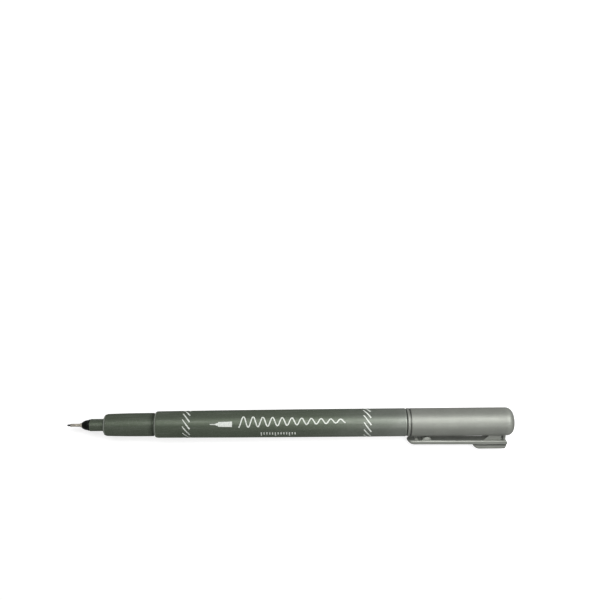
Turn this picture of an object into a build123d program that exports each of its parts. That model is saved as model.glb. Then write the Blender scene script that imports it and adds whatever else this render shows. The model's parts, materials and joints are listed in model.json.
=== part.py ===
"""Fineliner pen, lying on its side with the cap posted on the tail.

The pen's axis runs along X, point at -X, cap at +X. It rests on Z = 0 on the barrel and on the
edge of the clip, which leans down on the -Y side. Each piece is a solid of its own, built where
it sits in the pen. All lengths are millimetres.
"""

import os
from math import asin, atan2, cos, hypot, sin

from build123d import *

# Fits
press_gap = 0.02  # radial gap of pieces that are pushed together for good
cap_fit_gap = 0.05  # radial gap of the cap on the tail and on the grip
liner_fit_gap = 0.05  # gap of the liner in the cap, round it and behind it
posting_gap = 0.3  # between the barrel's end and the mouth of the posted cap
end_gap = 0.4  # left at each end of the ink store

# Barrel
barrel_diameter = 10.0  # the cap is as thick
barrel_length = 90.1
barrel_wall = 1.1
barrel_front_share = 0.945  # thickness at the front, where the barrel is slimmer
barrel_taper_share = 0.85  # how much of the barrel's length narrows, in one flat curve
shoulder_length = 0.9  # two-step round of the front edge, along the barrel
shoulder_height = 0.55  # the same, across the wall
round_share = 0.3  # where a two-step round turns, as a share of its length and height
barrel_bevel = 0.2  # rear edge
rib_count = 6  # ribs that centre the ink store
rib_width = 0.6
rib_height = 0.21
rib_gap = 0.05  # between a rib and the film of the ink store
rib_root = 0.2  # depth of a rib's root in the wall

# Grip section, with the slim collar in front of it
grip_length = 18.4
grip_front_share = 0.945  # thickness at the front of the grip
grip_seat_length = 4.0  # straight rear part, which carries the cap
grip_round_length = 1.1  # two-step round of the front edge, along the grip
grip_round_height = 0.9  # the same, across it
grip_groove_width = 0.7  # snap groove in front of the barrel
grip_groove_depth = 0.25
collar_share = 0.45  # how thick the collar is between the needle and the grip
collar_length = 5.1
collar_root_bevel = 0.3
section_insert_length = 9.0  # part pushed into the barrel
section_wall = 1.18  # round the bore, in the insert
section_front_wall = 2.4  # wall between the collar and the bore

# Nose cone
nose_length = 2.9
nose_front_wall = 0.1  # round the steel sleeve
nose_step = 0.15  # from the flange down to the dome
nose_flange_step = 0.15  # from the collar down to the flange
nose_flange_length = 0.7
nose_stem_length = 9.0
nose_bevel = 0.1  # front edge of the flange
vent_count = 4  # air channels along the stem
vent_width = 0.5
vent_depth = 0.25

# Steel sleeve of the point
needle_diameter = 1.1
needle_reach = 3.2  # straight tube in front of the flare
flare_length = 1.2
flare_diameter = 2.1
sleeve_tail_length = 3.2  # part inside the nose
sleeve_wall = 0.16
needle_bevel = 0.06

# Fibre nib, feed rod and ink store
nib_diameter = 0.66
nib_reach = 1.1  # bare fibre in front of the steel
nib_tip_diameter = 0.46
nib_point_length = 0.3  # from the tip to the full thickness
nib_gap = 0.03  # between the fibre and the steel
nib_overlap = 0.6  # length of the nib inside the sleeve's tail
feed_diameter = 1.4
feed_gap = 0.05  # between the feed rod and what holds it
feed_point_length = 0.5
feed_depth = 6.0  # how far the feed rod runs into the ink store
film_thickness = 0.12

# Tail plug
tail_length = 11.1  # part that carries the posted cap
tail_insert_length = 9.0
tail_wall = 1.1
tail_end_wall = 1.4
tail_bevel = 0.6

# Cap
cap_wall = 0.8  # round the tail and the grip
cap_end_wall = 2.5
crown_round = 2.3  # rounded edge of the closed end
mouth_bead_width = 1.0
mouth_groove_width = 0.4
mouth_groove_depth = 0.25
mouth_bevel = 0.15
liner_ledge = 0.45  # step in the bore at the liner's mouth
liner_lead = 0.8  # from the edge of the grip to the liner's mouth when the pen is capped

# Liner that closes round the collar
liner_room = 3.0  # free length beyond the point when the pen is capped
liner_end_wall = 0.7
liner_lip_length = 1.8
liner_lip_gap = 0.05
liner_funnel = 0.6
liner_relief_share = 0.3  # how much of the wall at the lip is missing behind it

# Clip
clip_width = 4.3
clip_thickness = 1.5
clip_root_gap = 1.75  # between the cap and the clip, at the clip's end
clip_tip_gap = 1.4  # the same at the tip
clip_tip_inset = 0.4  # from the cap's mouth to the clip's tip
clip_end_inset = 1.75  # from the cap's closed end to the clip's end
clip_nose_length = 2.0  # rounded front of the clip, seen from outside
clip_nose_rise = 2.6  # the same, seen from the side
clip_nose_lead = 0.4  # how far in front of the tip the side's curve starts
clip_round = 0.4
clip_inner_bevel = 0.2
clip_heel_round = 0.9
pad_length = 12.3
pad_height = 1.9
pad_width = 3.5
pad_front_width = 2.0
pad_nose_length = 5.0
pad_ramp = 2.6
pad_slant = 0.8
pad_sink = 0.3  # how deep the pad's foot lies in the clip
pad_round = 0.65
pad_groove_height = 0.45
pad_groove_depth = 0.4
foot_length = 6.2
foot_rake = 2.6  # how much longer the foot is where it meets the clip
foot_width = 3.0
foot_inset = 0.6  # from the clip's end to the foot's end
foot_gap = 0.03  # between the foot and the cap
foot_slot_width = 0.75
foot_slot_depth = 0.6
foot_slot_wall = 0.8  # wall left behind the slot
tenon_length = 3.2
tenon_width = 1.8
tenon_depth = 0.6
tenon_lead = 0.9  # from the foot's front to the tenon
socket_gap = 0.12  # round the tenon
bump_length = 3.4
bump_width = 3.2
bump_place = 7.0  # from the clip's tip to the middle of the grip bump
bump_gap = 0.15  # between the grip bump and the cap
bump_sink = 0.2  # how deep the flat sides of the bump and the nub lie in the clip
nub_length = 1.4  # small nub between the grip bump and the tip
nub_width = 2.4
nub_height = 0.5
nub_place = 3.3

# Radii that follow
barrel_r = barrel_diameter / 2
barrel_front_r = barrel_front_share * barrel_r
bore_r = barrel_r - barrel_wall
insert_r = bore_r - press_gap
cap_r = barrel_r
cap_bore_r = cap_r - cap_wall
grip_r = cap_bore_r - cap_fit_gap
grip_front_r = grip_front_share * grip_r
needle_r = needle_diameter / 2
collar_r = needle_r + collar_share * (grip_r - needle_r)
section_bore_r = insert_r - section_wall
flange_r = collar_r - nose_flange_step
nose_r = flange_r - nose_step
sleeve_r = flare_diameter / 2
nose_front_r = sleeve_r + press_gap + nose_front_wall
nib_r = nib_diameter / 2
nib_tip_r = nib_tip_diameter / 2
nib_bore_r = nib_r + nib_gap
feed_r = feed_diameter / 2
feed_bore_r = feed_r + feed_gap
stem_r = (feed_bore_r + collar_r) / 2
film_r = bore_r - rib_height - rib_gap
film_inner_r = film_r - film_thickness
reservoir_r = film_inner_r - press_gap
crown_edge_r = cap_r - crown_round
liner_seat_r = cap_bore_r - liner_ledge
liner_r = liner_seat_r - liner_fit_gap
lip_r = collar_r + liner_lip_gap
liner_relief = liner_relief_share * (liner_r - lip_r)
clip_root_r = cap_r + clip_root_gap
clip_outer_r = clip_root_r + clip_thickness
clip_tip_r = cap_r + clip_tip_gap
pad_r = clip_outer_r + pad_height
pad_foot_r = clip_outer_r - pad_sink
clip_mid_r = clip_root_r + clip_thickness / 2

# Places along the pen, from the point at -X to the cap's end at +X
point_length = nib_reach + needle_reach + flare_length + nose_length + collar_length + grip_length
cap_length = point_length + liner_room + liner_end_wall + liner_fit_gap + cap_end_wall
total_length = point_length + barrel_length + posting_gap + cap_length
tip_x = -total_length / 2
needle_x = tip_x + nib_reach
flare_x = needle_x + needle_reach
nose_x = flare_x + flare_length
collar_x = nose_x + nose_length
grip_x = collar_x + collar_length
barrel_x = grip_x + grip_length
barrel_taper_x = barrel_x + barrel_taper_share * barrel_length
barrel_end_x = barrel_x + barrel_length
grip_seat_x = barrel_x - grip_groove_width - grip_seat_length
cap_x = barrel_end_x + posting_gap
cap_end_x = cap_x + cap_length
dome_end_x = collar_x - nose_flange_length
stem_end_x = collar_x + nose_stem_length
sleeve_end_x = nose_x + sleeve_tail_length
nib_end_x = nose_x + nib_overlap
section_end_x = barrel_x + section_insert_length
section_bore_x = grip_x + section_front_wall
reservoir_x = section_end_x + end_gap
plug_x = barrel_end_x - tail_insert_length
reservoir_end_x = plug_x - end_gap
feed_end_x = reservoir_x + feed_depth
tail_end_x = barrel_end_x + tail_length
liner_x = cap_x + grip_length + liner_lead
liner_ledge_x = liner_x - liner_fit_gap
lip_x = liner_x + liner_funnel
lip_end_x = lip_x + liner_lip_length
liner_cavity_x = cap_x + point_length + liner_room
liner_end_x = liner_cavity_x + liner_end_wall
cap_floor_x = liner_end_x + liner_fit_gap

# Places along the clip, from the cap's mouth
clip_tip_u = clip_tip_inset
clip_nose_u = clip_tip_u + clip_nose_length
clip_rise_u = clip_tip_u + clip_nose_rise
clip_lead_u = clip_tip_u - clip_nose_lead
clip_end_u = cap_length - clip_end_inset
pad_u = clip_end_u - pad_length
foot_end_u = clip_end_u - foot_inset
foot_u = foot_end_u - foot_length
tenon_u = foot_u + tenon_lead + tenon_length / 2
bump_u = clip_tip_u + bump_place
nub_u = clip_tip_u + nub_place


def clip_inner_r(u):
    """Distance of the clip's inner face from the pen's axis, at a place along the clip."""
    return clip_tip_r + (clip_root_r - clip_tip_r) * (u - clip_tip_u) / (clip_end_u - clip_tip_u)


def rest_angle(corner_r, half_width, corner_round):
    """Lean of the clip, in radians, at which a rounded corner of it touches the ground."""
    r, h = corner_r - corner_round, half_width - corner_round
    return asin((cap_r - corner_round) / hypot(r, h)) - atan2(h, r)


def side_reach(corner_r, half_width, corner_round, lean):
    """How far a rounded corner of the leaning clip stands out sideways from the pen's axis."""
    r, h = corner_r - corner_round, half_width - corner_round
    return r * cos(lean) + h * sin(lean) + corner_round


# The pen rolls until the clip touches the ground, then it is centred on the origin.
clip_corners = (
    (clip_outer_r, clip_width / 2, clip_round),
    (pad_r, pad_width / 2, pad_round),
)
clip_lean = min(rest_angle(*corner) for corner in clip_corners)
clip_reach = max(side_reach(*corner, clip_lean) for corner in clip_corners)
axis_y = (clip_reach - barrel_r) / 2
axis_z = barrel_r

# Planes: a half section through the axis, cross sections, and two planes that lean with the clip.
# On the clip's side plane x is the distance from the cap's mouth and y the distance from the axis.
pen_axis = Axis((0, axis_y, axis_z), (1, 0, 0))
section_plane = Plane(origin=(0, axis_y, axis_z), x_dir=(1, 0, 0), z_dir=(0, -1, 0))
rib_plane = Plane(origin=(reservoir_x, axis_y, axis_z), x_dir=(0, 1, 0), z_dir=(1, 0, 0))
vent_plane = Plane(origin=(collar_x, axis_y, axis_z), x_dir=(0, 1, 0), z_dir=(1, 0, 0))
clip_out = (0, -cos(clip_lean), -sin(clip_lean))
clip_across = (0, sin(clip_lean), -cos(clip_lean))
clip_side = Plane(origin=(cap_x, axis_y, axis_z), x_dir=(1, 0, 0), z_dir=clip_across)
clip_plan = Plane(origin=(cap_x, axis_y, axis_z), x_dir=(1, 0, 0), z_dir=clip_out)
clip_axis = Axis((cap_x, axis_y, axis_z), clip_out)

os.makedirs("parts", exist_ok=True)

# Barrel: a tube that narrows to the front in a flat curve, ribbed inside
with BuildPart() as barrel:
    with BuildSketch(section_plane) as barrel_outline:
        with BuildLine():
            barrel_taper = TangentArc(
                (barrel_taper_x, barrel_r),
                (barrel_x + shoulder_length, barrel_front_r),
                tangent=(-1, 0),
            )
            Polyline(
                barrel_taper @ 1,
                (
                    barrel_x + round_share * shoulder_length,
                    barrel_front_r - round_share * shoulder_height,
                ),
                (barrel_x, barrel_front_r - shoulder_height),
                (barrel_x, bore_r),
                (barrel_end_x, bore_r),
                (barrel_end_x, barrel_r),
                barrel_taper @ 0,
            )
        make_face()
        chamfer(barrel_outline.vertices().sort_by_distance((barrel_end_x, barrel_r))[0], barrel_bevel)
    revolve(axis=pen_axis)
    with BuildSketch(rib_plane):
        with PolarLocations(bore_r + (rib_root - rib_height) / 2, rib_count):
            Rectangle(rib_root + rib_height, rib_width)
    extrude(amount=reservoir_end_x - reservoir_x)
barrel.part.label = "barrel"
export_step(barrel.part, "parts/barrel.step")

# Grip section: collar, grip and the insert that is pushed into the barrel
with BuildPart() as grip_section:
    with BuildSketch(section_plane) as grip_outline:
        with BuildLine():
            grip_taper = TangentArc(
                (grip_seat_x, grip_r),
                (grip_x + grip_round_length, grip_front_r),
                tangent=(-1, 0),
            )
            Polyline(
                grip_taper @ 0,
                (barrel_x - grip_groove_width, grip_r),
                (barrel_x - grip_groove_width, grip_r - grip_groove_depth),
                (barrel_x, grip_r - grip_groove_depth),
                (barrel_x, insert_r),
                (section_end_x, insert_r),
                (section_end_x, section_bore_r),
                (section_bore_x, section_bore_r),
                (section_bore_x, stem_r + press_gap),
                (collar_x, stem_r + press_gap),
                (collar_x, collar_r),
                (grip_x, collar_r),
                (grip_x, grip_front_r - grip_round_height),
                (
                    grip_x + round_share * grip_round_length,
                    grip_front_r - round_share * grip_round_height,
                ),
                grip_taper @ 1,
            )
        make_face()
        chamfer(grip_outline.vertices().sort_by_distance((grip_x, collar_r))[0], collar_root_bevel)
    revolve(axis=pen_axis)
grip_section.part.label = "grip_section"
export_step(grip_section.part, "parts/grip_section.step")

# Nose cone: a black dome on a stem with air channels
with BuildPart() as nose_cone:
    with BuildSketch(section_plane) as nose_outline:
        with BuildLine():
            dome = TangentArc((dome_end_x, nose_r), (nose_x, nose_front_r), tangent=(-1, 0))
            Polyline(
                dome @ 0,
                (dome_end_x, flange_r),
                (collar_x, flange_r),
                (collar_x, stem_r),
                (stem_end_x, stem_r),
                (stem_end_x, feed_bore_r),
                (sleeve_end_x, feed_bore_r),
                (sleeve_end_x, sleeve_r + press_gap),
                (nose_x, sleeve_r + press_gap),
                dome @ 1,
            )
        make_face()
        chamfer(nose_outline.vertices().sort_by_distance((dome_end_x, flange_r))[0], nose_bevel)
    revolve(axis=pen_axis)
    with BuildSketch(vent_plane):
        with PolarLocations(stem_r, vent_count):
            Rectangle(2 * vent_depth, vent_width)
    extrude(amount=nose_stem_length, mode=Mode.SUBTRACT)
nose_cone.part.label = "nose_cone"
export_step(nose_cone.part, "parts/nose_cone.step")

# Steel sleeve: thin tube, flare and the tail that sits in the nose
with BuildPart() as needle_sleeve:
    with BuildSketch(section_plane) as sleeve_outline:
        with BuildLine():
            Polyline(
                (needle_x, nib_bore_r),
                (needle_x, needle_r),
                (flare_x, needle_r),
                (nose_x, sleeve_r),
                (sleeve_end_x, sleeve_r),
                (sleeve_end_x, sleeve_r - sleeve_wall),
                (nose_x, sleeve_r - sleeve_wall),
                (nose_x, nib_bore_r),
                close=True,
            )
        make_face()
        chamfer(sleeve_outline.vertices().sort_by_distance((needle_x, needle_r))[0], needle_bevel)
    revolve(axis=pen_axis)
needle_sleeve.part.label = "needle_sleeve"
export_step(needle_sleeve.part, "parts/needle_sleeve.step")

# Nib: a fibre rod with a short blunt point
with BuildPart() as nib:
    with BuildSketch(section_plane):
        with BuildLine():
            Polyline(
                (tip_x, 0),
                (tip_x, nib_tip_r),
                (tip_x + nib_point_length, nib_r),
                (nib_end_x, nib_r),
                (nib_end_x, 0),
                close=True,
            )
        make_face()
    revolve(axis=pen_axis)
nib.part.label = "nib"
export_step(nib.part, "parts/nib.step")

# Feed rod: from the nib into the ink store
with BuildPart() as feed_rod:
    with BuildSketch(section_plane):
        with BuildLine():
            Polyline(
                (nib_end_x, 0),
                (nib_end_x, nib_r),
                (nib_end_x + feed_point_length, feed_r),
                (feed_end_x, feed_r),
                (feed_end_x, 0),
                close=True,
            )
        make_face()
    revolve(axis=pen_axis)
feed_rod.part.label = "feed_rod"
export_step(feed_rod.part, "parts/feed_rod.step")

# Ink store: a fibre rod with a hole for the feed, in a thin film
with BuildPart() as ink_reservoir:
    with BuildSketch(section_plane):
        with BuildLine():
            Polyline(
                (reservoir_x, feed_bore_r),
                (reservoir_x, reservoir_r),
                (reservoir_end_x, reservoir_r),
                (reservoir_end_x, 0),
                (feed_end_x + feed_gap, 0),
                (feed_end_x + feed_gap, feed_bore_r),
                close=True,
            )
        make_face()
    revolve(axis=pen_axis)
ink_reservoir.part.label = "ink_reservoir"
export_step(ink_reservoir.part, "parts/ink_reservoir.step")

with BuildPart() as reservoir_film:
    with BuildSketch(section_plane):
        with BuildLine():
            Polyline(
                (reservoir_x, film_inner_r),
                (reservoir_x, film_r),
                (reservoir_end_x, film_r),
                (reservoir_end_x, film_inner_r),
                close=True,
            )
        make_face()
    revolve(axis=pen_axis)
reservoir_film.part.label = "reservoir_film"
export_step(reservoir_film.part, "parts/reservoir_film.step")

# Tail plug: a cup pushed into the barrel, whose closed end carries the cap
with BuildPart() as tail_plug:
    with BuildSketch(section_plane) as tail_outline:
        with BuildLine():
            Polyline(
                (plug_x, insert_r - tail_wall),
                (plug_x, insert_r),
                (barrel_end_x, insert_r),
                (barrel_end_x, grip_r),
                (tail_end_x, grip_r),
                (tail_end_x, 0),
                (tail_end_x - tail_end_wall, 0),
                (tail_end_x - tail_end_wall, insert_r - tail_wall),
                close=True,
            )
        make_face()
        chamfer(tail_outline.vertices().sort_by_distance((tail_end_x, grip_r))[0], tail_bevel)
    revolve(axis=pen_axis)
tail_plug.part.label = "tail_plug"
export_step(tail_plug.part, "parts/tail_plug.step")

# Cap: bead and groove at the mouth, rounded crown, socket for the clip's tenon
with BuildPart() as cap_shell:
    with BuildSketch(section_plane) as cap_outline:
        with BuildLine():
            Polyline(
                (cap_end_x, crown_edge_r),
                (cap_end_x, 0),
                (cap_floor_x, 0),
                (cap_floor_x, liner_seat_r),
                (liner_ledge_x, liner_seat_r),
                (liner_ledge_x, cap_bore_r),
                (cap_x, cap_bore_r),
                (cap_x, cap_r),
                (cap_x + mouth_bead_width, cap_r),
                (cap_x + mouth_bead_width, cap_r - mouth_groove_depth),
                (cap_x + mouth_bead_width + mouth_groove_width, cap_r - mouth_groove_depth),
                (cap_x + mouth_bead_width + mouth_groove_width, cap_r),
                (cap_end_x - crown_round, cap_r),
            )
            CenterArc(
                center=(cap_end_x - crown_round, crown_edge_r),
                radius=crown_round,
                start_angle=0,
                arc_size=90,
            )
        make_face()
        chamfer(cap_outline.vertices().sort_by_distance((cap_x, cap_r))[0], mouth_bevel)
    revolve(axis=pen_axis)
    with BuildSketch(clip_plan.offset(cap_r)):
        with Locations((tenon_u, 0)):
            Rectangle(tenon_length + 2 * socket_gap, tenon_width + 2 * socket_gap)
    extrude(amount=tenon_depth + socket_gap, both=True, mode=Mode.SUBTRACT)
cap_shell.part.label = "cap_shell"
export_step(cap_shell.part, "parts/cap_shell.step")

# Liner: a cup with a lip that closes round the collar
with BuildPart() as cap_liner:
    with BuildSketch(section_plane):
        with BuildLine():
            Polyline(
                (liner_x, liner_r),
                (liner_end_x, liner_r),
                (liner_end_x, 0),
                (liner_cavity_x, 0),
                (liner_cavity_x, lip_r + liner_relief),
                (lip_end_x + liner_relief, lip_r + liner_relief),
                (lip_end_x, lip_r),
                (lip_x, lip_r),
                (liner_x, (lip_r + liner_r) / 2),
                close=True,
            )
        make_face()
    revolve(axis=pen_axis)
cap_liner.part.label = "cap_liner"
export_step(cap_liner.part, "parts/cap_liner.step")

# Thumb pad of the clip: it rises from a narrow front and has a groove along each side
with BuildPart() as thumb_pad:
    with BuildSketch(clip_side):
        with BuildLine():
            EllipticalCenterArc(
                center=(pad_u + pad_ramp, pad_foot_r),
                x_radius=pad_ramp,
                y_radius=pad_r - pad_foot_r,
                start_angle=90,
                arc_size=90,
            )
            Polyline(
                (pad_u, pad_foot_r),
                (clip_end_u, pad_foot_r),
                (clip_end_u, clip_outer_r),
                (clip_end_u - pad_slant, pad_r),
                (pad_u + pad_ramp, pad_r),
            )
        make_face()
    extrude(amount=pad_width / 2, both=True)
    with BuildSketch(clip_plan):
        with BuildLine():
            pad_nose = Spline(
                (pad_u, pad_front_width / 2),
                (pad_u + pad_nose_length, pad_width / 2),
                tangents=((1, 1), (1, 0)),
            )
            Polyline(
                pad_nose @ 1,
                (clip_end_u, pad_width / 2),
                (clip_end_u, 0),
                (pad_u, 0),
                pad_nose @ 0,
            )
        make_face()
        mirror(about=Plane.XZ)
    extrude(amount=pad_r, mode=Mode.INTERSECT)
    top_edges = thumb_pad.edges().filter_by(Axis.X).sort_by(clip_axis)[-2:]
    fillet(top_edges, pad_round)
    with BuildSketch(clip_side.offset(pad_width / 2), clip_side.offset(-pad_width / 2)):
        with Locations((pad_u + pad_nose_length, clip_outer_r)):
            Rectangle(pad_length, pad_groove_height, align=(Align.MIN, Align.MIN))
    extrude(amount=pad_groove_depth, both=True, mode=Mode.SUBTRACT)

# Clip: bar with a rounded tip, foot with a tenon, grip bump, nub and thumb pad
with BuildPart() as clip:
    with BuildSketch(clip_side) as bar_outline:
        with BuildLine():
            bar_nose = Spline(
                (clip_lead_u, clip_inner_r(clip_lead_u)),
                (clip_rise_u, clip_inner_r(clip_rise_u) + clip_thickness),
                tangents=((1, 1), (clip_end_u - clip_tip_u, clip_root_r - clip_tip_r)),
            )
            Polyline(
                bar_nose @ 0,
                (clip_end_u, clip_root_r),
                (clip_end_u, clip_outer_r),
                bar_nose @ 1,
            )
        make_face()
        fillet(bar_outline.vertices().sort_by_distance((clip_end_u, clip_root_r))[0], clip_heel_round)
    extrude(amount=clip_width / 2, both=True)
    with BuildSketch(clip_plan):
        with BuildLine():
            EllipticalCenterArc(
                center=(clip_nose_u, 0),
                x_radius=clip_nose_length,
                y_radius=clip_width / 2,
                start_angle=90,
                arc_size=180,
            )
            Polyline(
                (clip_nose_u, -clip_width / 2),
                (clip_end_u, -clip_width / 2),
                (clip_end_u, clip_width / 2),
                (clip_nose_u, clip_width / 2),
            )
        make_face()
    extrude(amount=clip_outer_r, mode=Mode.INTERSECT)
    long_edges = clip.edges().filter_by(lambda edge: edge.length > cap_length / 2)
    fillet(long_edges.sort_by(clip_axis)[-2:], clip_round)
    long_edges = clip.edges().filter_by(lambda edge: edge.length > cap_length / 2)
    chamfer(long_edges.sort_by(clip_axis)[:2], clip_inner_bevel)
    # Foot, hollowed to the cap, with a slot down each side
    with BuildSketch(clip_side):
        with BuildLine():
            Polyline(
                (foot_u, 0),
                (foot_u, cap_r),
                (foot_u - foot_rake, clip_mid_r),
                (foot_end_u, clip_mid_r),
                (foot_end_u, 0),
                close=True,
            )
        make_face()
    extrude(amount=foot_width / 2, both=True)
    with BuildSketch(clip_side.offset(foot_width / 2), clip_side.offset(-foot_width / 2)):
        with Locations((foot_end_u - foot_slot_wall, cap_r)):
            Rectangle(foot_slot_width, clip_root_gap, align=(Align.MAX, Align.MIN))
    extrude(amount=foot_slot_depth, both=True, mode=Mode.SUBTRACT)
    # Grip bump and nub on the inner face, arched ribs across the clip
    for place_u, length, top_r, width in (
        (bump_u, bump_length, cap_r + bump_gap, bump_width),
        (nub_u, nub_length, clip_inner_r(nub_u) - nub_height, nub_width),
    ):
        base_r = clip_inner_r(place_u) + bump_sink
        base_ends = ((place_u - length / 2, base_r), (place_u + length / 2, base_r))
        with BuildSketch(clip_side):
            with BuildLine():
                ThreePointArc(base_ends[0], (place_u, top_r), base_ends[1])
                Line(base_ends)
            make_face()
        extrude(amount=width / 2, both=True)
    # The cap's surface, taken out of the foot, then the tenon that goes into the cap
    with BuildSketch(section_plane):
        with Locations((cap_x, 0)):
            Rectangle(cap_length, cap_r + foot_gap, align=Align.MIN)
    revolve(axis=pen_axis, mode=Mode.SUBTRACT)
    with BuildSketch(clip_plan.offset(cap_r - tenon_depth)):
        with Locations((tenon_u, 0)):
            Rectangle(tenon_length, tenon_width)
    extrude(amount=tenon_depth + clip_root_gap)
    add(thumb_pad.part)
clip.part.label = "clip"
export_step(clip.part, "parts/clip.step")
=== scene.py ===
"""Looks of a fineliner pen: finishes of its moulded, steel and fibre pieces, the white print
on its barrel, and a plain pale stage with soft light. Lengths are metres, in the pen's frame."""

import json
from functools import reduce
from math import atan2, radians, tau

import bpy
import numpy as np
from bpy.props import FloatProperty, FloatVectorProperty, IntProperty, PointerProperty
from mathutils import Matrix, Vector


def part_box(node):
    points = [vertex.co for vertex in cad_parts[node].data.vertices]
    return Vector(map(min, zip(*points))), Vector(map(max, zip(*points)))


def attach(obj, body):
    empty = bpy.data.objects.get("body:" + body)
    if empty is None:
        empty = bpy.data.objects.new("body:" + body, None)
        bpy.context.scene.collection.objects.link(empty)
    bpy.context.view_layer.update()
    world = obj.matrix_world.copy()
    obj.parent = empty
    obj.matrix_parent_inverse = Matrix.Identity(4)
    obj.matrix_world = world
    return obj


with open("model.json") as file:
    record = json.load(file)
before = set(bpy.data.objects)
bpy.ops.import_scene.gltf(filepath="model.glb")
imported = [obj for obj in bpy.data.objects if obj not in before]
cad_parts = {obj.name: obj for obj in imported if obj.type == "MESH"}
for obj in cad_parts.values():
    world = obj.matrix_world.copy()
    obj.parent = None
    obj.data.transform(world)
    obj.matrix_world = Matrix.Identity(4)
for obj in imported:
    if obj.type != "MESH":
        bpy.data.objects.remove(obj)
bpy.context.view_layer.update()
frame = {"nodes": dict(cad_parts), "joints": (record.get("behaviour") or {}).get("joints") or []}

bl_info = {
    "name": "Fineliner pen",
    "version": (1, 0, 0),
    "blender": (4, 5, 0),
    "location": "3D View > Sidebar > Pen",
    "description": "Finishes, barrel print and stage of a fineliner pen",
    "category": "3D View",
}

MM = 0.001
BARREL_LOW, BARREL_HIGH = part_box("barrel")
GRIP_LOW, GRIP_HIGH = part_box("grip_section")
CAP_LOW, CAP_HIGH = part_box("cap_shell")
NOSE_LOW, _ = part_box("nose_cone")
NEEDLE_LOW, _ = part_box("needle_sleeve")
FLEX = next(joint for joint in frame["joints"] if joint["name"] == "clip_flex")

# The barrel; its axis is the axis of all round pieces.
BARREL_RADIUS = (BARREL_HIGH.z - BARREL_LOW.z) / 2
AXIS_Y = (BARREL_LOW.y + BARREL_HIGH.y) / 2
AXIS_Z = (BARREL_LOW.z + BARREL_HIGH.z) / 2
SHOULDER_LENGTH = 0.9 * MM  # rounded front edge of the barrel
TAPER_SHARE = 0.85  # how much of the barrel's length narrows to the front
FRONT_SHARE = 0.945  # thickness behind the shoulder, as a share of the full one
PAINTED_LIGHT_START = 6 * MM  # where painted light starts to make the barrel paler towards its rear

# Worn rims of the grip and the barrel with painted highlights on them, and painted shade where the
# grip goes into the barrel.
COLLAR_LENGTH = 5.1 * MM  # slim collar in front of the grip
GRIP_RADIUS = (GRIP_HIGH.z - GRIP_LOW.z) / 2
RIMS = (  # place along the pen, distance from its axis and strength of each worn rim with its painted highlight
    (GRIP_LOW.x + COLLAR_LENGTH + 0.4 * MM, 4.0 * MM, 2.0),
    (BARREL_LOW.x + 0.3 * MM, 4.55 * MM, 1.1),
    (BARREL_HIGH.x, 5.0 * MM, 1.0),
)
RIM_LENGTH, RIM_DEPTH = 0.6 * MM, 0.7 * MM  # reach of the wear and painted highlight along the pen and inwards
PAINTED_SHADE_LENGTH = 2.6 * MM  # how far in front of the barrel the painted shade starts
PAINTED_SHADE_EDGE = 0.1 * MM  # how soon it ends outside the grip
PAINTED_SHADE_SHARE = 0.5  # how much of it shows

# Nose and needle.
NOSE_EDGES = (NOSE_LOW.x, GRIP_LOW.x - 0.7 * MM, GRIP_LOW.x)  # places along the pen
NOSE_EDGE_REACH = 0.16 * MM
NEEDLE_INK = 0.35 * MM  # length of the needle's mouth that ink has stained
NIB_GAUGE, STORE_GAUGE = 0.04 * MM, 0.15 * MM  # thickness of their fibres
FILM_WRINKLE, LINER_WRINKLE = 1.5 * MM, 2.5 * MM  # length of their ripples

# The cap.
CROWN_PLACE, CROWN_REACH = CAP_HIGH.x - 2.0 * MM, 1.6 * MM  # worn edge of the closed end
CROWN_WEAR = 0.3  # strength of that wear
GROOVE_PLACE, GROOVE_REACH = CAP_LOW.x + 1.1 * MM, 0.5 * MM  # groove behind the mouth's bead, which gets painted shade

# The clip, whose foot ends at its hinge; distances out are from the cap's surface.
CLIP_ROOT = FLEX["pos_m"]
CLIP_ACROSS = FLEX["axis"]
CLIP_OUT = (0, -FLEX["axis"][2], FLEX["axis"][1])
CLIP_GAP = (1.1 * MM, 1.5 * MM)  # from the gap under the clip into its bar, outwards
CLIP_SIDES, CLIP_SIDE_REACH = (-2.15 * MM, 2.15 * MM), 0.5 * MM  # from its middle
CLIP_FACES, CLIP_FACE_REACH = (1.6 * MM, 3.25 * MM), 0.45 * MM  # inner and outer, outwards
# Places of the clip's bump and nub, which get a painted highlight, and the reach of that highlight
# along the pen.
CLIP_BUMPS, CLIP_BUMP_REACH = (CAP_LOW.x + 3.7 * MM, CAP_LOW.x + 7.4 * MM), 1.8 * MM
SLOT_PLACE, SLOT_REACH = CLIP_ROOT[0] - 1.2 * MM, 0.5 * MM  # slot in the foot, which gets painted shade
PAD_GROOVE, PAD_GROOVE_REACH = 3.48 * MM, 0.34 * MM  # groove under the thumb pad, outwards, which gets painted shade

# Print. The section of a strip of ink is a ring of corners: shares of its half width, and
# heights that are shares of the ink's height where they are positive and of its root elsewhere.
SECTION_ACROSS = np.array((-1, -1, -0.8, -0.3, 0.3, 0.8, 1, 1, 0.3, -0.3))
SECTION_HEIGHT = np.array((-1, 0.4, 1, 1, 1, 1, 0.4, -1, -1, -1))
DASH_STATIONS, WAVE_STATIONS, TICK_STATIONS = 15, 40, 9  # on a dash, a wave and a tick
DASH_START, DASH_END = 0.72, 1.22  # width of a dash at its ends, as shares of its width
WAVE_SHRINK = 0.72  # how much lower the last wave is than the first
LONG_TICK, SHORT_TICK = 5, 0.6  # every fifth tick is long; height of the others as a share
SIGN_PLACES = np.array((0, 0.06, 0.3, 0.6, 0.95, 1.0, 1.12, 1.3, 1.42, 1.46, 2.4, 3.3, 3.8, 3.84))
SIGN_WIDTHS = np.array((0.06, 0.11, 0.15, 0.16, 0.17, 0.3, 0.4, 0.46, 0.48, 0.82, 0.87, 0.93,
                        0.96, 0.92))

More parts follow.
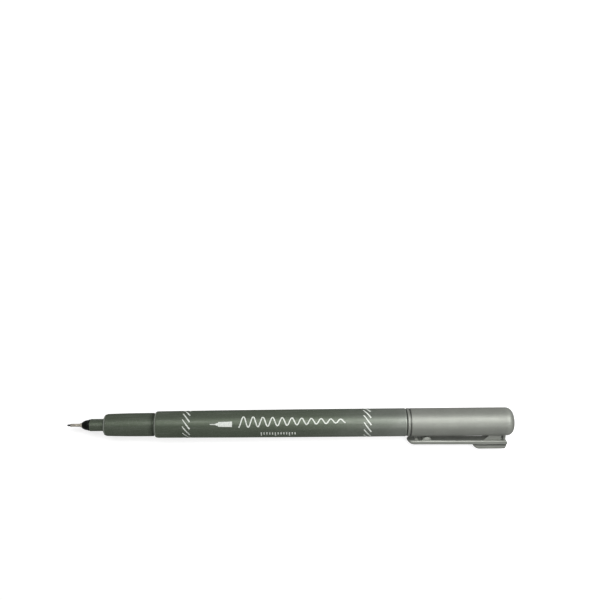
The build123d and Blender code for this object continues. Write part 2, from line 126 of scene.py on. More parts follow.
# Stage.
FLOOR_LIT = 0.45  # share of the floor's paleness that the lamps light
FLOOR_GLOW = 0.88  # share of it that glows by itself near the pen
GLOW_NEAR, GLOW_FAR = 0.12, 0.6  # distances between which the glow rises to white
SENSOR_WIDTH = 36  # millimetres
VIEW_START, VIEW_END = 0.005, 30  # nearest and furthest that the camera sees
WHITE = (1, 1, 1)

# Linear colours of stains and wear, and the grey of the pearl's reflections.
NOSE_WORN = (0.06, 0.062, 0.06, 1)
STEEL_WARM = (0.66, 0.6, 0.5, 1)
STEEL_INK = (0.03, 0.03, 0.035, 1)
FIBRE_DAMP = (0.02, 0.018, 0.035, 1)
PRINT_WORN = (0.3, 0.33, 0.29, 1)
PEARL_TINT = (0.3, 0.3, 0.3, 1)

# Sockets of a Mix node for colours, whose names repeat.
MIX_FACTOR, MIX_FIRST, MIX_SECOND, MIX_RESULT = 0, 6, 7, 2


def barrel_radius(reach):
    """The barrel's radius at places along the pen: full at the rear, and in front of the taper's
    start smaller by a share that grows with the square of the distance from there."""
    start = BARREL_LOW.x + TAPER_SHARE * (BARREL_HIGH.x - BARREL_LOW.x)
    gone = np.clip((start - reach) / (start - BARREL_LOW.x - SHOULDER_LENGTH), 0, None)
    return BARREL_RADIUS * (1 - (1 - FRONT_SHARE) * gone ** 2)


def length(name, description, default):
    """A length that a user may change, in metres."""
    return FloatProperty(name=name, description=description, default=default, unit="LENGTH",
                         precision=5)


def count(name, description, default, least):
    """A whole number that a user may change."""
    return IntProperty(name=name, description=description, default=default, min=least)


def share(name, description, default):
    """A number from 0 to 1 that a user may change."""
    return FloatProperty(name=name, description=description, default=default, min=0, max=1,
                         subtype="FACTOR")


def colour(name, description, default):
    """A colour that a user may change, as linear red, green and blue."""
    return FloatVectorProperty(name=name, description=description, default=default, size=3,
                               min=0, max=1, subtype="COLOR")


def angle(name, description, degrees):
    """An angle that a user may change, given in degrees and kept in radians."""
    return FloatProperty(name=name, description=description, default=radians(degrees),
                         subtype="ANGLE", unit="ROTATION")


def place(name, description, default):
    """A place that a user may change, in metres."""
    return FloatVectorProperty(name=name, description=description, default=default, size=3,
                               subtype="TRANSLATION", unit="LENGTH", precision=5)


def pair(name, description, default):
    """A length and a width that a user may change, in metres."""
    return FloatVectorProperty(name=name, description=description, default=default, size=2,
                               min=0, subtype="XYZ", unit="LENGTH")


def power(name, description, default):
    """A lamp's power that a user may change, in watts."""
    return FloatProperty(name=name, description=description, default=default, min=0, unit="POWER")


class PenFinishes(bpy.types.PropertyGroup):
    """Colours and gloss of the pen's pieces."""

    barrel_colour: colour("Barrel", "Dark green-grey plastic of barrel, grip and tail",
                          (0.062, 0.075, 0.054))
    # Painted light: the paler colour that the barrel turns to at the cap stands in for the lamp by
    # the cap.
    barrel_lit_rear: colour("Barrel's rear", "Paler plastic that the barrel turns into at the cap",
                        (0.12, 0.129, 0.115))
    barrel_roughness: share("Barrel roughness", "How matt the dark plastic is", 0.49)
    barrel_pearl: share("Barrel pearl", "Share of metal sheen in the dark plastic", 0.72)
    cap_colour: colour("Cap", "Silver-grey plastic of cap and clip", (0.174, 0.181, 0.163))
    cap_roughness: share("Cap roughness", "How matt the silver plastic is", 0.545)
    cap_pearl: share("Cap pearl", "Share of metal sheen in the silver plastic", 0.65)
    nose_colour: colour("Nose", "Gloss black plastic of the nose", (0.002, 0.003, 0.002))
    steel_colour: colour("Steel", "Drawn steel of the needle", (0.18, 0.17, 0.148))
    fibre_colour: colour("Fibre", "Ink-soaked fibre of nib, feed and store",
                         (0.011, 0.011, 0.013))
    film_colour: colour("Film", "Film round the ink store", (0.7, 0.7, 0.72))
    liner_colour: colour("Liner", "Milky plastic of the cap's liner", (0.72, 0.72, 0.69))
    print_colour: colour("Print", "White ink on the barrel", (0.65, 0.68, 0.635))


class PenPrint(bpy.types.PropertyGroup):
    """Sizes and places of the print on the barrel."""

    ink_height: length("Ink height", "How far the ink stands out of the barrel", 0.02 * MM)
    ink_root: length("Ink root", "How deep the ink's underside lies in the barrel", 0.03 * MM)
    dash_count: count("Dashes", "Slanted dashes round one band", 12, 3)
    dash_length: length("Dash length", "Length of a dash along the barrel", 2.6 * MM)
    dash_turn: angle("Dash turn", "Angle of the barrel that a dash spans", 42)
    dash_width: length("Dash width", "Width of a dash", 0.44 * MM)
    front_band: length("Front band", "Start of the front band of dashes", -38.0 * MM)
    front_turn: angle("Front turn", "Angle of a front dash's start from the top", 4)
    rear_band: length("Rear band", "Start of the rear band of dashes", 26.4 * MM)
    rear_turn: angle("Rear turn", "Angle of a rear dash's start from the top", -6.7)
    sign_start: length("Sign start", "Front end of the pen-point sign", -28.2 * MM)
    sign_angle: angle("Sign angle", "Angle of the sign's middle from the top", -3.3)
    sign_height: length("Sign height", "Height of the sign's body", 2.06 * MM)
    wave_start: length("Wave start", "Front end of the wave line", -18.0 * MM)
    wave_end: length("Wave end", "Rear end of the wave line", 19.9 * MM)
    wave_angle: angle("Wave angle", "Angle of the wave's middle from the top", -12.5)
    wave_height: length("Wave height", "Half height of the first wave", 2.0 * MM)
    wave_count: count("Waves", "Waves in the line", 11, 1)
    wave_width: length("Wave width", "Width of the wave's line", 0.42 * MM)
    tick_count: count("Ticks", "Ticks of the small scale", 13, 2)
    tick_start: length("Tick start", "Front end of the small scale", -10.0 * MM)
    tick_pitch: length("Tick pitch", "Distance between ticks", 1.0 * MM)
    tick_angle: angle("Tick angle", "Angle of the scale's top from the pen's top", 34)
    tick_height: length("Tick height", "Length of a long tick", 1.8 * MM)
    tick_width: length("Tick width", "Width of a tick", 0.42 * MM)


class PenStage(bpy.types.PropertyGroup):
    """Floor, light and camera."""

    floor_paleness: share("Floor", "How pale the floor is", 0.9)
    floor_bounce: share("Floor bounce", "How much light the floor throws back at the pen", 0.12)
    floor_size: length("Floor size", "Half width of the floor", 4.0)
    sky: share("Sky", "Light from all round", 0.06)
    strip_power: power("Strip power", "Power of the long lamp over the pen", 0.9)
    strip_size: pair("Strip size", "Length and width of the long lamp", (0.5, 0.09))
    strip_place: place("Strip place", "Where the long lamp hangs", (0.06, 0.13, 0.3))
    side_power: power("Side power", "Power of the lamp beside the cap", 0.2)
    side_size: pair("Side size", "Length and width of the lamp beside the cap", (0.1, 0.12))
    side_place: place("Side place", "Where the lamp beside the cap hangs", (0.096, 0.06, 0.15))
    side_turn: angle("Side turn", "Turn of the lamp beside the cap about the vertical", -30)
    clip_power: power("Clip power", "Power of the small lamp on the clip's side", 0.06)
    clip_size: pair("Clip size", "Length and width of the lamp on the clip's side", (0.1, 0.05))
    clip_place: place("Clip place", "Where the lamp on the clip's side hangs",
                      (0.085, -0.05, 0.14))
    camera_place: place("Camera place", "Where the camera stands", (0.004707, 0.02554, 0.251155))
    camera_turn: FloatVectorProperty(name="Camera turn", description="How the camera is turned",
                                     default=(radians(5), radians(0.17), radians(-0.548)),
                                     size=3, subtype="EULER", unit="ROTATION", precision=5)
    camera_lens: FloatProperty(name="Lens", description="Focal length in millimetres",
                               default=40.43, min=1, unit="CAMERA")


class Value:
    """An output of a node; sums, differences, products and absolute values add Math nodes."""

    def __init__(self, nodes, socket):
        self.nodes = nodes
        self.socket = socket

    def math(self, operation, *values):
        """Adds a Math node for an operation on values and numbers."""
        return self.nodes.node("ShaderNodeMath", {"operation": operation}, dict(enumerate(values)))

    def __add__(self, other):
        return self.math("ADD", self, other)

    def __sub__(self, other):
        return self.math("SUBTRACT", self, other)

    def __rsub__(self, other):
        return self.math("SUBTRACT", other, self)

    def __mul__(self, other):
        return self.math("MULTIPLY", self, other)

    def __abs__(self):
        return self.math("ABSOLUTE", self)

    __radd__ = __add__
    __rmul__ = __mul__

    def most(self, other):
        """The larger of two values."""
        return self.math("MAXIMUM", self, other)

    def swing(self, spread):
        """A noise from 0 to 1 as a change up and down that spans a spread."""
        return (self - 0.5) * spread

    def between(self, low, high):
        """0 where the value is at low, 1 where it is at high, with a smooth change between."""
        return self.nodes.node(
            "ShaderNodeMapRange", {"interpolation_type": "SMOOTHSTEP"},
            {"Value": self, "From Min": low, "From Max": high})


class Nodes:
    """A tree of nodes, and the one way in which nodes are added to it."""

    def __init__(self, tree):
        self.tree = tree

    def node(self, kind, settings=None, sockets=None, output=0):
        """Adds a node, sets its settings, then its sockets' values or links; gives one output."""
        made = self.tree.nodes.new(kind)
        for name, value in (settings or {}).items():
            setattr(made, name, value)
        self.fill(made, sockets or {})
        return Value(self, made.outputs[output])

    def fill(self, node, sockets):
        """Sets or links sockets of a node."""
        for name, value in sockets.items():
            if isinstance(value, Value):
                self.tree.links.new(value.socket, node.inputs[name])
            else:
                node.inputs[name].default_value = value

    def seen(self):
        """1 for rays that look at the background: from the camera, a mirror or a glass."""
        rays = ("Is Camera Ray", "Is Glossy Ray", "Is Transmission Ray")
        return reduce(Value.most, [self.node("ShaderNodeLightPath", output=ray) for ray in rays])


class Finish(Nodes):
    """A material and the nodes that work out its surface."""

    def __init__(self, name):
        self.material = bpy.data.materials.new(name)
        self.material.use_nodes = True
        super().__init__(self.material.node_tree)
        self.surface = self.tree.nodes["Principled BSDF"]
        self.place = self.node("ShaderNodeTexCoord", output="Object")

    def axis(self, name):
        """One of the pen's own coordinates, in metres."""
        return self.node("ShaderNodeSeparateXYZ", None, {"Vector": self.place}, name)

    def along(self, direction, origin):
        """Distance of a point from an origin along a direction."""
        offset = self.node("ShaderNodeVectorMath", {"operation": "SUBTRACT"},
                           {0: self.place, 1: origin})
        return self.node("ShaderNodeVectorMath", {"operation": "DOT_PRODUCT"},
                         {0: offset, 1: direction}, "Value")

    def radius(self):
        """Distance of a point from the pen's axis."""
        offset = self.node("ShaderNodeVectorMath", {"operation": "MULTIPLY_ADD"},
                           {0: self.place, 1: (0, 1, 1), 2: (0, -AXIS_Y, -AXIS_Z)})
        return self.node("ShaderNodeVectorMath", {"operation": "LENGTH"}, {0: offset}, "Value")

    def noise(self, scale, detail, roughness, place=None):
        """Cloudy noise from 0 to 1, with scale clouds in a metre."""
        return self.node("ShaderNodeTexNoise", None, {
            "Vector": place or self.place, "Scale": scale, "Detail": detail,
            "Roughness": roughness})

    def drawn_noise(self, scales, detail, roughness):
        """Noise whose clouds are drawn out, with a number of them in a metre for each axis."""
        drawn = self.node("ShaderNodeMapping", None, {"Vector": self.place, "Scale": scales})
        return self.noise(1, detail, roughness, drawn)

    def mix(self, mask, first, second, share=1):
        """The first colour where a mask is 0, and a share of the second where it is 1."""
        factor = mask * share if share < 1 else mask
        return self.node("ShaderNodeMix", {"data_type": "RGBA"},
                         {MIX_FACTOR: factor, MIX_FIRST: first, MIX_SECOND: second}, MIX_RESULT)

    def near(self, value, places, reach):
        """1 where a value is at one of some places, falling to 0 at a reach from all of them."""
        masks = [1 - abs(value - place).between(0, reach) for place in places]
        return reduce(Value.most, masks)

    def bump(self, height, strength, distance, below=None):
        """A surface normal from a height between 0 and 1 times a distance."""
        sockets = {"Height": height, "Strength": strength, "Distance": distance}
        if below:
            sockets["Normal"] = below
        return self.node("ShaderNodeBump", None, sockets)

    def feed(self, **sockets):
        """Sets or links sockets of the surface, named with _ for spaces; gives the material."""
        self.fill(self.surface, {name.replace("_", " "): sockets[name] for name in sockets})
        return self.material


def shade(rgb, factor):
    """A colour made lighter or darker, with its alpha."""
    return (*(min(1.0, part * factor) for part in rgb), 1.0)


def moulded_plastic(name, rgb, rear, roughness, pearl, wear_and_highlight, painted_shade):
    """Satin moulded plastic with a pearl share: fine spark-eroded grain, faint flow streaks along
    the pen, cloudy colour that painted light turns into the paler rear colour along the rear of the
    barrel, bright flakes, edges that handling has polished, painted highlights on some rims and on
    the clip's bump and nub, and painted shade in recesses. The last two arguments are functions
    that give a finish's masks of wear with painted highlights and of painted shade."""
    finish = Finish(name)
    grain = finish.noise(9000, detail=3, roughness=0.6)
    streaks = finish.drawn_noise((60, 1400, 1400), detail=3, roughness=0.55)
    clouds = finish.noise(140, detail=4, roughness=0.6)
    cells = finish.node("ShaderNodeTexVoronoi", {"feature": "F1"},
                        {"Vector": finish.place, "Scale": 11000}, "Color")
    flake = finish.node("ShaderNodeSeparateColor", None, {"Color": cells}).between(0.55, 1) * pearl
    # Mask of wear and of painted highlights on rims and on the clip's bump and nub.
    worn_and_highlit = wear_and_highlight(finish) * finish.noise(5200, detail=3, roughness=0.6).between(0.15, 0.6)
    # Mask of painted shade in recesses and where the grip goes into the barrel.
    painted_shade_mask = painted_shade(finish) * clouds.between(0.1, 0.5)
    # Painted light: paler towards the rear, where the lamp by the cap falls on the barrel.
    painted_light_fade = finish.axis("X").between(PAINTED_LIGHT_START, BARREL_HIGH.x)
    tint = finish.mix(painted_light_fade, shade(rgb, 1), shade(rear, 1))
    tint = finish.mix(clouds.between(0.3, 0.7), tint, shade(rgb, 0.75), share=0.3)
    tint = finish.mix(streaks.between(0.52, 0.75), tint, shade(rear, 1.2), share=0.3)
    tint = finish.mix(flake, tint, shade(rear, 1.4), share=0.5)
    # Wear, with painted highlights on the rims and on the clip's bump and nub.
    tint = finish.mix(worn_and_highlit, tint, shade(rear, 2.2), share=0.7)
    # Painted shade in recesses and where the grip goes into the barrel.
    tint = finish.mix(painted_shade_mask, tint, shade(rgb, 0.16))
    gloss = roughness + clouds.swing(0.12) + grain.swing(0.1) - worn_and_highlit * 0.1 - flake * 0.1
    flow = finish.bump(streaks, strength=0.03, distance=0.02 * MM)
    return finish.feed(
        Base_Color=tint, Roughness=gloss, Metallic=pearl + clouds.swing(0.2),
        Normal=finish.bump(grain, strength=0.2, distance=0.02 * MM, below=flow),
        Specular_IOR_Level=0.3, Specular_Tint=PEARL_TINT)


def gloss_black(name, rgb):
    """Polished black plastic: faint cloudy tint, finger smears in the gloss, fine turned rings
    and edges that are a little grey."""
    finish = Finish(name)
    smears = finish.noise(700, detail=4, roughness=0.6)
    rings = finish.drawn_noise((9000, 40, 40), detail=2, roughness=0.5)
    edge = finish.near(finish.axis("X"), NOSE_EDGES, NOSE_EDGE_REACH)
    tint = finish.mix(smears.between(0.35, 0.7), shade(rgb, 0.8), shade(rgb, 1.5))
    tint = finish.mix(edge * smears, tint, NOSE_WORN, share=0.6)
    return finish.feed(
        Base_Color=tint, Roughness=0.16 + smears * 0.14 + edge * 0.08,
        Normal=finish.bump(rings, strength=0.12, distance=0.01 * MM), Specular_IOR_Level=0.05)


def drawn_steel(name, rgb):
    """Drawn steel tube: fine lines along the pen, warm clouds, ink left at its mouth."""
    finish = Finish(name)
    lines = finish.drawn_noise((260, 9000, 9000), detail=3, roughness=0.6)
    clouds = finish.noise(900, detail=3, roughness=0.5)
    mouth = 1 - finish.axis("X").between(NEEDLE_LOW.x, NEEDLE_LOW.x + NEEDLE_INK)
    ink = mouth * clouds.between(0.35, 0.6)
    tint = finish.mix(lines.between(0.3, 0.7), shade(rgb, 0.82), shade(rgb, 1.1))
    tint = finish.mix(clouds.between(0.4, 0.65), tint, STEEL_WARM, share=0.3)
    tint = finish.mix(ink, tint, STEEL_INK, share=0.75)
    return finish.feed(
        Base_Color=tint, Metallic=1 - ink * 0.7, Roughness=0.2 + lines * 0.16 + ink * 0.2,
        Normal=finish.bump(lines, strength=0.25, distance=0.01 * MM))


def inked_fibre(name, rgb, gauge):
    """Bonded fibres soaked with ink: strands along the pen that are gauge metres thick, each a
    little lighter or darker, with damp patches."""
    finish = Finish(name)
    strands = finish.drawn_noise((0.06 / gauge, 1 / gauge, 1 / gauge), detail=2, roughness=0.5)
    damp = finish.noise(0.15 / gauge, detail=3, roughness=0.5)
    tint = finish.mix(strands.between(0.3, 0.7), shade(rgb, 0.5), shade(rgb, 2.4))
    tint = finish.mix(damp.between(0.45, 0.7), tint, FIBRE_DAMP, share=0.4)
    return finish.feed(
        Base_Color=tint, Roughness=0.75 - damp.between(0.4, 0.7) * 0.3,
        Normal=finish.bump(strands, strength=0.5, distance=0.03 * MM), Specular_IOR_Level=0.1)


def milky_plastic(name, rgb, wrinkle):
    """Pale soft plastic with a waxy, clouded surface; wrinkle is how long its ripples are."""
    finish = Finish(name)
    clouds = finish.noise(260, detail=4, roughness=0.6)
    ripples = finish.drawn_noise((0.4 / wrinkle, 1 / wrinkle, 1 / wrinkle), detail=3, roughness=0.5)
    tint = finish.mix(clouds.between(0.3, 0.7), shade(rgb, 0.9), shade(rgb, 1.06))
    return finish.feed(Base_Color=tint, Roughness=0.34 + clouds * 0.2,
                       Normal=finish.bump(ripples, strength=0.2, distance=0.03 * MM))


def printed_ink(name, rgb):
    """Screen-printed white ink: thin and uneven, so that the barrel shows through in specks."""
    finish = Finish(name)
    cover = finish.noise(2600, detail=4, roughness=0.65)
    specks = finish.noise(14000, detail=2, roughness=0.5)
    tint = finish.mix(cover.between(0.25, 0.6), shade(rgb, 0.72), shade(rgb, 1.04))
    tint = finish.mix(specks.between(0.66, 0.8), tint, PRINT_WORN, share=0.45)
    return finish.feed(
        Base_Color=tint, Roughness=0.5 + cover * 0.2,
        Normal=finish.bump(specks, strength=0.2, distance=0.01 * MM), Specular_IOR_Level=0.2)


def under_clip(finish):
    """1 between the cap and the clip, 0 in the clip's bar and outside it."""
    return 1 - finish.along(CLIP_OUT, CLIP_ROOT).between(*CLIP_GAP)


def dress(node, material):
    """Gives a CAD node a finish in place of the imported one."""
    mesh = frame["nodes"][node].data
    mesh.materials.clear()
    mesh.materials.append(material)


def ribbon(path, half_width, ink, centre):
    """Closed strips of ink carried along paths on the unrolled barrel and wrapped round it.

    The path is an array of strips by stations by two: distance along the pen and distance round
    the barrel. At each station the strip's flat section, a ring of corners given as a share of
    the half width and a height, stands across the path. A point's distance round the barrel over
    the full radius is its angle from the centre angle, so it lies at axis + (radius there +
    height) times the sine and the cosine of that angle. Returns points, side faces and end
    faces."""
    slope = np.gradient(path, axis=1)
    slope /= np.linalg.norm(slope, axis=2, keepdims=True)
    normal = np.stack((-slope[..., 1], slope[..., 0]), axis=2)
    height = SECTION_HEIGHT * np.where(SECTION_HEIGHT > 0, ink.ink_height, ink.ink_root)
    offset = half_width[..., None, None] * SECTION_ACROSS[:, None] * normal[:, :, None, :]
    sheet = path[:, :, None, :] + offset
    turn = sheet[..., 1] / BARREL_RADIUS + centre
    reach = barrel_radius(sheet[..., 0]) + height
    points = np.stack((sheet[..., 0], AXIS_Y - reach * np.sin(turn),
                       AXIS_Z + reach * np.cos(turn)), axis=-1)
    strips, stations, corners = points.shape[:3]
    index = np.arange(strips * stations * corners).reshape(strips, stations, corners)
    after = np.roll(index, -1, axis=2)
    sides = np.stack((index[:, :-1], index[:, 1:], after[:, 1:], after[:, :-1]), axis=-1)
    ends = np.concatenate((index[:, 0], index[:, -1, ::-1]))
    return points.reshape(-1, 3), sides.reshape(-1, 4), ends


def ink_piece(name, path, half_width, centre):
    """Makes a printed piece from strips of ink, on the pen's body and in the print's finish."""
    scene = bpy.context.scene
    points, sides, ends = ribbon(path, half_width, scene.pen_print, centre)
    mesh = bpy.data.meshes.new(name)
    mesh.from_pydata(points.tolist(), [], sides.tolist() + ends.tolist())
    mesh.update()
    ink = bpy.data.materials.get("print_ink")
    mesh.materials.append(ink or printed_ink("print_ink", scene.pen_finishes.print_colour))
    piece = bpy.data.objects.new(name, mesh)
    scene.collection.objects.link(piece)
    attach(piece, "pen")


class PEN_OT_barrel_finish(bpy.types.Operator):
    """Dark satin plastic on the barrel, the grip section and the tail plug"""

    bl_idname = "pen.barrel_finish"
    bl_label = "Barrel, grip and tail"

    def execute(self, context):
        finishes = context.scene.pen_finishes
        plastic = moulded_plastic(
            "barrel_plastic", finishes.barrel_colour, finishes.barrel_lit_rear,
            finishes.barrel_roughness, finishes.barrel_pearl, self.rim_wear_and_highlight, self.grip_painted_shade)
        for node in ("barrel", "grip_section", "tail_plug"):
            dress(node, plastic)
        return {"FINISHED"}

    @staticmethod
    def rim_wear_and_highlight(finish):
        """The rims of the grip and the barrel, where handling polishes them and a painted highlight
        lightens them.
        """
        reach, radius = finish.axis("X"), finish.radius()
        return reduce(Value.__add__, [
            finish.near(reach, (rim_x,), RIM_LENGTH)
            * finish.near(radius, (rim_radius,), RIM_DEPTH) * strength
            for rim_x, rim_radius, strength in RIMS])

    @staticmethod
    def grip_painted_shade(finish):
        """Painted shade on the grip's end, up to where it goes into the barrel."""
        inside = 1 - finish.radius().between(GRIP_RADIUS, GRIP_RADIUS + PAINTED_SHADE_EDGE)
        end = finish.axis("X").between(BARREL_LOW.x - PAINTED_SHADE_LENGTH, BARREL_LOW.x)
        return end * inside * PAINTED_SHADE_SHARE


class PEN_OT_point_finish(bpy.types.Operator):
    """Gloss black on the nose, drawn steel on the needle and inked fibre on the nib"""

    bl_idname = "pen.point_finish"
    bl_label = "Nose, needle and nib"

    def execute(self, context):
        finishes = context.scene.pen_finishes
        dress("nose_cone", gloss_black("nose_black_plastic", finishes.nose_colour))
        dress("needle_sleeve", drawn_steel("needle_drawn_steel", finishes.steel_colour))
        dress("nib", inked_fibre("nib_fibres", finishes.fibre_colour, NIB_GAUGE))
        return {"FINISHED"}


class PEN_OT_store_finish(bpy.types.Operator):
    """Inked fibre on the feed and the ink store, and film round the store"""

    bl_idname = "pen.store_finish"
    bl_label = "Feed and ink store"

    def execute(self, context):
        finishes = context.scene.pen_finishes
        strands = inked_fibre("store_fibres", finishes.fibre_colour, STORE_GAUGE)
        for node in ("feed_rod", "ink_reservoir"):
            dress(node, strands)
        film = milky_plastic("store_film_plastic", finishes.film_colour, FILM_WRINKLE)
        dress("reservoir_film", film)
        return {"FINISHED"}


class PEN_OT_cap_finish(bpy.types.Operator):
    """Silver pearl plastic on the cap and the clip, milky plastic on the liner"""

    bl_idname = "pen.cap_finish"
    bl_label = "Cap, clip and liner"

    def execute(self, context):
        finishes = context.scene.pen_finishes
        for node, name, wear_and_highlight, painted_shade in (
                ("cap_shell", "cap_pearl_plastic", self.crown_wear, self.groove_painted_shade),
                ("clip", "clip_pearl_plastic", self.clip_wear_and_highlight, self.clip_painted_shade)):
            dress(node, moulded_plastic(
                name, finishes.cap_colour, finishes.cap_colour, finishes.cap_roughness,
                finishes.cap_pearl, wear_and_highlight, painted_shade))
        liner = milky_plastic("liner_milky_plastic", finishes.liner_colour, LINER_WRINKLE)
        dress("cap_liner", liner)
        return {"FINISHED"}

    @staticmethod
    def crown_wear(finish):
        """The rounded edge of the cap's closed end."""
        return finish.near(finish.axis("X"), (CROWN_PLACE,), CROWN_REACH) * CROWN_WEAR

    @staticmethod
    def groove_painted_shade(finish):
        """Painted shade in the groove behind the bead at the cap's mouth."""
        return finish.near(finish.axis("X"), (GROOVE_PLACE,), GROOVE_REACH)

    @staticmethod
    def clip_wear_and_highlight(finish):
        """The clip's long edges, where wear lightens them, and the bump and the nub, which get a
        painted highlight.
        """
        sides = finish.near(finish.along(CLIP_ACROSS, CLIP_ROOT), CLIP_SIDES, CLIP_SIDE_REACH)
        faces = finish.near(finish.along(CLIP_OUT, CLIP_ROOT), CLIP_FACES, CLIP_FACE_REACH)
        bumps = finish.near(finish.axis("X"), CLIP_BUMPS, CLIP_BUMP_REACH)
        return (sides * faces).most(bumps * under_clip(finish))

    @staticmethod
    def clip_painted_shade(finish):
        """Painted shade in the slot in the clip's foot and in the groove under its thumb pad."""
        slot = finish.near(finish.axis("X"), (SLOT_PLACE,), SLOT_REACH)
        groove = finish.near(finish.along(CLIP_OUT, CLIP_ROOT), (PAD_GROOVE,), PAD_GROOVE_REACH)
        return groove.most(slot * under_clip(finish))


class PEN_OT_hatch_bands(bpy.types.Operator):
    """Two bands of slanted dashes round the barrel"""

    bl_idname = "pen.hatch_bands"
    bl_label = "Hatch bands"

    def execute(self, context):
        ink = context.scene.pen_print
        # A dash is a straight line on the unrolled barrel that grows wider towards its rear end;
        # the dashes stand a share of a turn apart.
        step = np.linspace(0, 1, DASH_STATIONS)[None, :]
        turn = np.arange(ink.dash_count)[:, None] * tau / ink.dash_count + step * ink.dash_turn
        width = ink.dash_width * (DASH_START + step * (DASH_END - DASH_START))
        half_width = np.broadcast_to(width / 2, turn.shape)
        for name, start, first in (("hatch_front", ink.front_band, ink.front_turn),
                                   ("hatch_rear", ink.rear_band, ink.rear_turn)):
            reach = np.broadcast_to(start + step * ink.dash_length, turn.shape)
            path = np.stack((reach, turn * BARREL_RADIUS), axis=2)
            ink_piece(name, path, half_width, first)
        return {"FINISHED"}


class PEN_OT_point_sign(bpy.types.Operator):
    """A small sign of a pen point on the barrel"""

    bl_idname = "pen.point_sign"
    bl_label = "Pen-point sign"

    def execute(self, context):
        ink = context.scene.pen_print
        # One straight strip whose width changes along it: needle, shoulder, body. Its places
        # from the front and its widths are shares of the sign's height.
        reach = ink.sign_start + SIGN_PLACES * ink.sign_height
        path = np.stack((reach, np.zeros_like(reach)), axis=1)[None]
        ink_piece("point_sign", path, (SIGN_WIDTHS * ink.sign_height / 2)[None], ink.sign_angle)
        return {"FINISHED"}


class PEN_OT_wave_line(bpy.types.Operator):
    """A wave line along the barrel, like a trial stroke of the pen"""

    bl_idname = "pen.wave_line"
    bl_label = "Wave line"

    def execute(self, context):
        ink = context.scene.pen_print
        # The line's height is a cosine along the barrel, whose waves shrink towards the rear.
        step = np.linspace(0, 1, WAVE_STATIONS * ink.wave_count + 1)
        reach = ink.wave_start + step * (ink.wave_end - ink.wave_start)
        swell = ink.wave_height * (1 - WAVE_SHRINK * step)
        path = np.stack((reach, swell * np.cos(tau * ink.wave_count * step)), axis=1)[None]
        ink_piece("wave_line", path, np.full((1, step.size), ink.wave_width / 2), ink.wave_angle)
        return {"FINISHED"}


class PEN_OT_tick_row(bpy.types.Operator):
    """A small scale of ticks on the barrel"""

    bl_idname = "pen.tick_row"
    bl_label = "Tick row"

    def execute(self, context):
        ink = context.scene.pen_print
        # Ticks are straight lines round the barrel that start on one line along it.
        number = np.arange(ink.tick_count)[:, None]
        step = np.linspace(0, 1, TICK_STATIONS)[None, :]
        turned = np.where(number % LONG_TICK, SHORT_TICK, 1.0) * ink.tick_height * step
        reach = np.broadcast_to(ink.tick_start + number * ink.tick_pitch, turned.shape)
        path = np.stack((reach, turned), axis=2)
        ink_piece("tick_row", path, np.full(reach.shape, ink.tick_width / 2), ink.tick_angle)
        return {"FINISHED"}


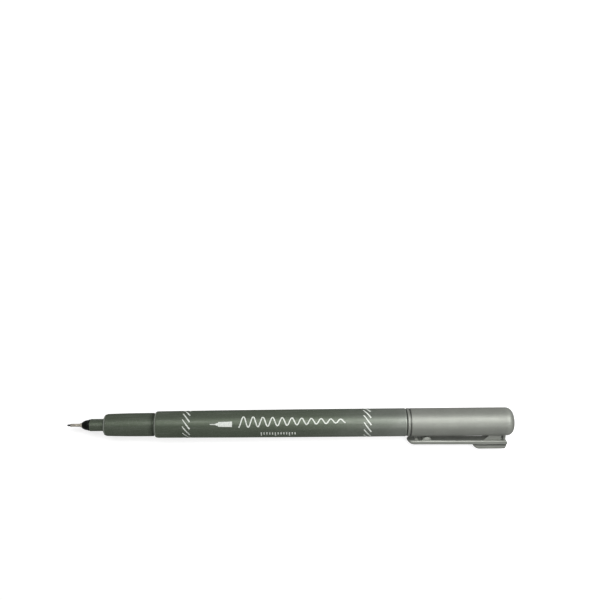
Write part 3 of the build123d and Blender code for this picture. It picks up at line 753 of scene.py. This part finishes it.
class PEN_OT_stage(bpy.types.Operator):
    """Pale floor, three soft lamps, dim sky and the camera"""

    bl_idname = "pen.stage"
    bl_label = "Stage"

    def execute(self, context):
        stage, scene = context.scene.pen_stage, context.scene
        scene.view_settings.view_transform = "Standard"
        half = stage.floor_size
        mesh = bpy.data.meshes.new("floor")
        mesh.from_pydata([(-half, -half, 0), (half, -half, 0), (half, half, 0), (-half, half, 0)],
                         [], [(0, 1, 2, 3)])
        mesh.materials.append(self.pale_floor(stage))
        floor = bpy.data.objects.new("floor", mesh)
        scene.collection.objects.link(floor)
        self.hang("strip_lamp", stage.strip_power, stage.strip_size, stage.strip_place)
        self.hang("side_lamp", stage.side_power, stage.side_size, stage.side_place, stage.side_turn)
        self.hang("clip_lamp", stage.clip_power, stage.clip_size, stage.clip_place)
        scene.world = self.dim_sky(stage)
        lens = bpy.data.cameras.new("camera")
        lens.sensor_width = SENSOR_WIDTH
        lens.lens = stage.camera_lens
        lens.clip_start, lens.clip_end = VIEW_START, VIEW_END
        camera = bpy.data.objects.new("camera", lens)
        camera.location = stage.camera_place
        camera.rotation_euler = stage.camera_turn
        scene.collection.objects.link(camera)
        scene.camera = camera
        return {"FINISHED"}

    @staticmethod
    def hang(name, watts, size, spot, turn=0):
        """Hangs a soft lamp that looks at the pen below it, with its length along the pen or
        turned from that about the vertical."""
        lamp = bpy.data.lights.new(name, "AREA")
        lamp.shape = "RECTANGLE"
        lamp.size, lamp.size_y = size
        lamp.energy = watts
        hung = bpy.data.objects.new(name, lamp)
        hung.location = spot
        hung.rotation_euler = (-atan2(spot[1], spot[2]), 0, turn)
        bpy.context.scene.collection.objects.link(hung)

    @staticmethod
    def pale_floor(stage):
        """White where it is looked at, with a soft shadow; a dimmer floor lights the pen. It
        glows a little less near the pen, where the lamps add to it."""
        finish = Finish("pale_floor")
        finish.tree.nodes.remove(finish.surface)
        far = finish.node("ShaderNodeVectorMath", {"operation": "LENGTH"},
                          {0: finish.place}, "Value")
        level = finish.node("ShaderNodeMapRange", None, {
            "Value": far, "From Min": GLOW_NEAR, "From Max": GLOW_FAR,
            "To Min": FLOOR_GLOW * stage.floor_paleness})
        glow = finish.node("ShaderNodeEmission", None, {"Color": level})
        pale = finish.node("ShaderNodeBsdfDiffuse", None,
                           {"Color": shade(WHITE, FLOOR_LIT * stage.floor_paleness)})
        lit = finish.node("ShaderNodeAddShader", None, {0: pale, 1: glow})
        dim = finish.node("ShaderNodeBsdfDiffuse", None,
                          {"Color": shade(WHITE, stage.floor_bounce)})
        pick = finish.node("ShaderNodeMixShader", None, {0: finish.seen(), 1: dim, 2: lit})
        finish.fill(finish.tree.nodes["Material Output"], {"Surface": pick})
        return finish.material

    @staticmethod
    def dim_sky(stage):
        """White where it is looked at, dim as a light."""
        world = bpy.data.worlds.new("dim_sky")
        world.use_nodes = True
        sky = Nodes(world.node_tree)
        level = sky.node("ShaderNodeMapRange", None, {"Value": sky.seen(), "To Min": stage.sky})
        sky.fill(sky.tree.nodes["Background"], {"Color": shade(WHITE, 1), "Strength": level})
        return world


OPERATORS = (PEN_OT_barrel_finish, PEN_OT_point_finish, PEN_OT_store_finish, PEN_OT_cap_finish,
             PEN_OT_hatch_bands, PEN_OT_point_sign, PEN_OT_wave_line, PEN_OT_tick_row, PEN_OT_stage)


class PEN_PT_sidebar(bpy.types.Panel):
    """Lists the steps that dress the pen and the values that they use"""

    bl_idname = "PEN_PT_sidebar"
    bl_label = "Fineliner pen"
    bl_space_type = "VIEW_3D"
    bl_region_type = "UI"
    bl_category = "Pen"

    def draw(self, context):
        for operator in OPERATORS:
            self.layout.operator(operator.bl_idname)
        scene = context.scene
        for group in (scene.pen_finishes, scene.pen_print, scene.pen_stage):
            for name in type(group).__annotations__:
                self.layout.prop(group, name)


CLASSES = (PenFinishes, PenPrint, PenStage, *OPERATORS, PEN_PT_sidebar)


def register():
    """Registers the classes and puts their values on the scene."""
    for item in CLASSES:
        bpy.utils.register_class(item)
    bpy.types.Scene.pen_finishes = PointerProperty(type=PenFinishes)
    bpy.types.Scene.pen_print = PointerProperty(type=PenPrint)
    bpy.types.Scene.pen_stage = PointerProperty(type=PenStage)


def unregister():
    """Takes the values off the scene and unregisters the classes."""
    del bpy.types.Scene.pen_stage
    del bpy.types.Scene.pen_print
    del bpy.types.Scene.pen_finishes
    for item in reversed(CLASSES):
        bpy.utils.unregister_class(item)


def main():
    """Dresses the pen step by step."""
    register()
    bpy.ops.pen.barrel_finish()
    bpy.ops.pen.point_finish()
    bpy.ops.pen.store_finish()
    bpy.ops.pen.cap_finish()
    bpy.ops.pen.hatch_bands()
    bpy.ops.pen.point_sign()
    bpy.ops.pen.wave_line()
    bpy.ops.pen.tick_row()
    bpy.ops.pen.stage()
    bpy.context.view_layer.update()


if __name__ == "__main__":
    main()
